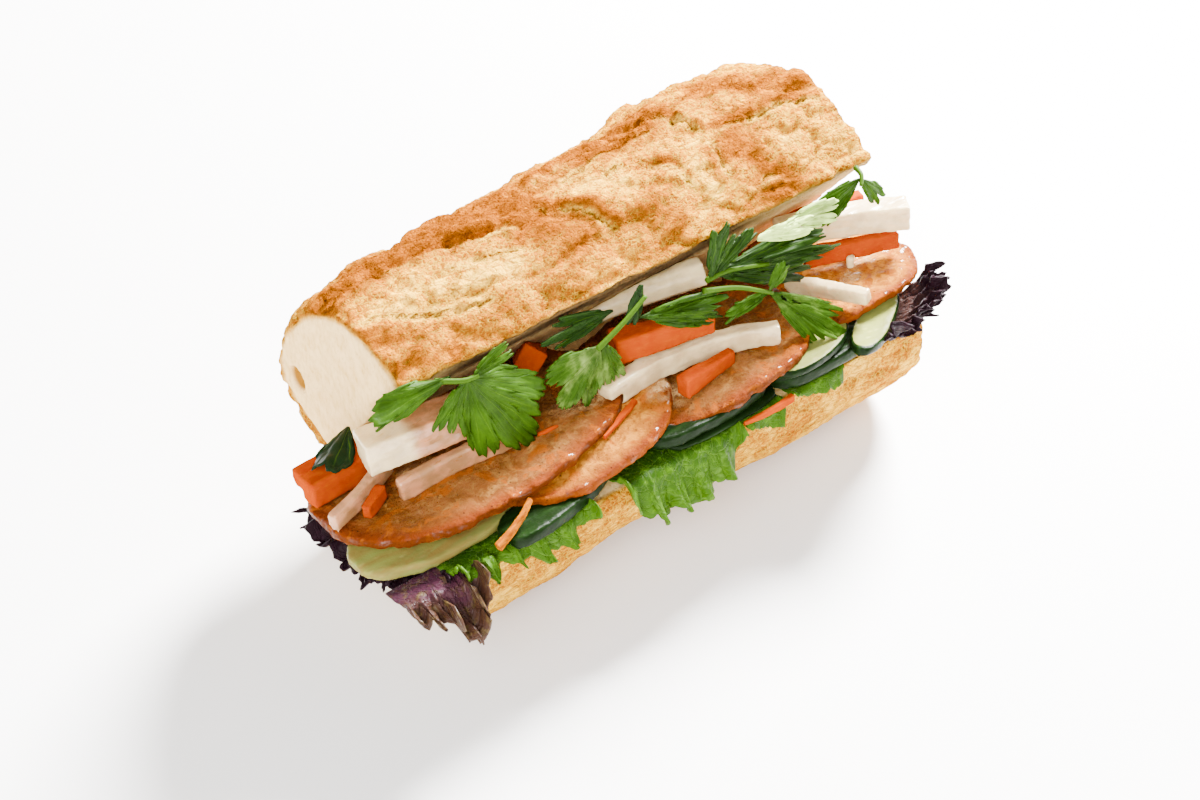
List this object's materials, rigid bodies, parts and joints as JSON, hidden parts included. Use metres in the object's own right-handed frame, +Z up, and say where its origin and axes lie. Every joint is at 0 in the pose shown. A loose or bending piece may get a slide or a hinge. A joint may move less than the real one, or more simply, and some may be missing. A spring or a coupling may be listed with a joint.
{
  "type": "banh mi sandwich",
  "caption": "Banh mi: a crusty roll hinged at its back and opened like a mouth, filled with sliced ham, cucumber, pickled daikon and carrot, salad leaves and cilantro.",
  "frame": {"origin": "middle of the bounding box's base, on the surface that the roll lies on", "axes": "+X along the roll to its far end, -Y out of the open side, +Z up"},
  "size_m": [0.2294, 0.123, 0.1088],
  "materials": {
    "crust": "dry, blistered bread crust over pale crumb",
    "ham": "moist sliced ham",
    "cucumber_skin": "wet dark green skin",
    "cucumber_flesh": "wet pale green flesh",
    "daikon": "wet translucent pickle",
    "carrot": "wet pickle",
    "lettuce": "crisp leaf, half gloss",
    "red_leaf": "crisp leaf, half gloss",
    "bronze_leaf": "crisp leaf, half gloss",
    "cilantro": "soft herb leaf",
    "cilantro_pale": "soft herb leaf, pale side"
  },
  "bodies": {
    "root": {"roll": "crust", "carrot_bit_left": "carrot", "carrot_chunk": "carrot", "carrot_end": "carrot", "carrot_end_inner": "carrot", "carrot_far": "carrot", "carrot_far_upper": "carrot", "carrot_middle": "carrot", "carrot_shred_ham": "carrot", "carrot_shred_left": "carrot", "carrot_sliver": "carrot", "carrot_upper_left": "carrot", "cilantro_across": "cilantro", "cilantro_crown": "cilantro", "cilantro_dark": "cilantro", "cilantro_fan": "cilantro", "cilantro_far": "cilantro", "cilantro_hanging": "cilantro_pale", "cilantro_light": "cilantro_pale", "cilantro_middle": "cilantro", "cilantro_olive": "cilantro_pale", "cilantro_pale": "cilantro_pale", "cilantro_shaded": "cilantro", "cilantro_tip": "cilantro", "cucumber_flesh_far": "cucumber_flesh", "cucumber_flesh_left": "cucumber_flesh", "cucumber_flesh_right": "cucumber_flesh", "cucumber_long_left": "cucumber_skin", "cucumber_long_middle": "cucumber_skin", "cucumber_low_middle": "cucumber_skin", "cucumber_right": "cucumber_skin", "daikon_bit_far": "daikon", "daikon_block": "daikon", "daikon_far": "daikon", "daikon_long": "daikon", "daikon_round": "daikon", "daikon_slab_left": "daikon", "daikon_strip_far": "daikon", "daikon_strip_left": "daikon", "ham_slice_1": "ham", "ham_slice_2": "ham", "ham_slice_3": "ham", "ham_slice_4": "ham", "lettuce_bit_middle": "lettuce", "lettuce_bit_right": "lettuce", "lettuce_left": "lettuce", "lettuce_middle": "lettuce", "red_leaf_left": "red_leaf", "red_leaf_lobe": "bronze_leaf", "red_leaf_right": "red_leaf"}
  },
  "joints": []
}
